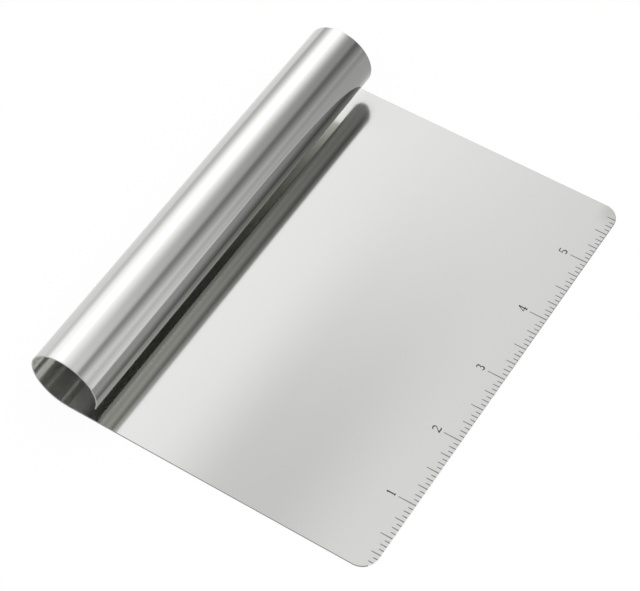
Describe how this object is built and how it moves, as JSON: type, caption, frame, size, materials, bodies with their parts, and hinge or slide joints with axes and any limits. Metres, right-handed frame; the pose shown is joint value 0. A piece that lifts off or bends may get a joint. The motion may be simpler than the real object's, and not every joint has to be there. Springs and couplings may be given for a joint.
{
  "type": "dough scraper",
  "caption": "Flat steel dough scraper with rounded corners, an inch scale along the cutting edge and a tubular handle rolled from the same sheet.",
  "frame": {"origin": "on the underside of the sheet, at the middle of the footprint", "axes": "+X along the cutting edge in the reading direction of the scale, +Y from the cutting edge to the handle, +Z out of the face with the scale"},
  "size_m": [0.15, 0.1148, 0.0232],
  "materials": {
    "satin_steel": "fine satin stainless sheet with a darkened etched scale",
    "polished_steel": "bright polished stainless sheet"
  },
  "bodies": {
    "root": {"blade": "satin_steel", "rolled_handle": "polished_steel"}
  },
  "joints": []
}
